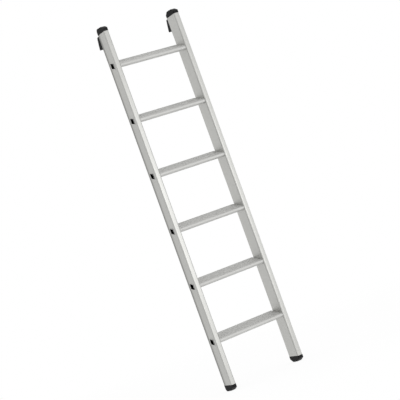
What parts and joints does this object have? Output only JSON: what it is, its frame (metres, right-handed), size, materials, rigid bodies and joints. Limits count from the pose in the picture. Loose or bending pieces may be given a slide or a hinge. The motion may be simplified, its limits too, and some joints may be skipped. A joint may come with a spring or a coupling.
{
  "type": "single section ladder",
  "caption": "Leaning aluminium ladder with flat ribbed treads between box-section stiles, black feet, top caps and wedge pads that rest on a wall.",
  "frame": {"origin": "on the floor, in the middle of the overall width and depth of the upright ladder", "axes": "+Z along the stiles from the feet to the top caps, +X across the ladder, +Y towards the wall"},
  "size_m": [0.4258, 0.0962, 1.745],
  "materials": {
    "stile_aluminium": "satin mill finish",
    "tread_aluminium": "ribbed mill finish",
    "rivet_aluminium": "bright",
    "black_moulding": "fine grained"
  },
  "bodies": {
    "root": {"left_stile": "stile_aluminium", "right_stile": "stile_aluminium", "left_foot": "black_moulding", "right_foot": "black_moulding", "left_top_cap": "black_moulding", "right_top_cap": "black_moulding", "left_wall_pad": "black_moulding", "right_wall_pad": "black_moulding", "left_foot_rivet": "rivet_aluminium", "right_foot_rivet": "rivet_aluminium", "left_cap_rivet": "rivet_aluminium", "right_cap_rivet": "rivet_aluminium", "left_pad_rivets": "rivet_aluminium", "right_pad_rivets": "rivet_aluminium", "tread_1": "tread_aluminium", "tread_2": "tread_aluminium", "tread_3": "tread_aluminium", "tread_4": "tread_aluminium", "tread_5": "tread_aluminium", "tread_6": "tread_aluminium"}
  },
  "joints": []
}
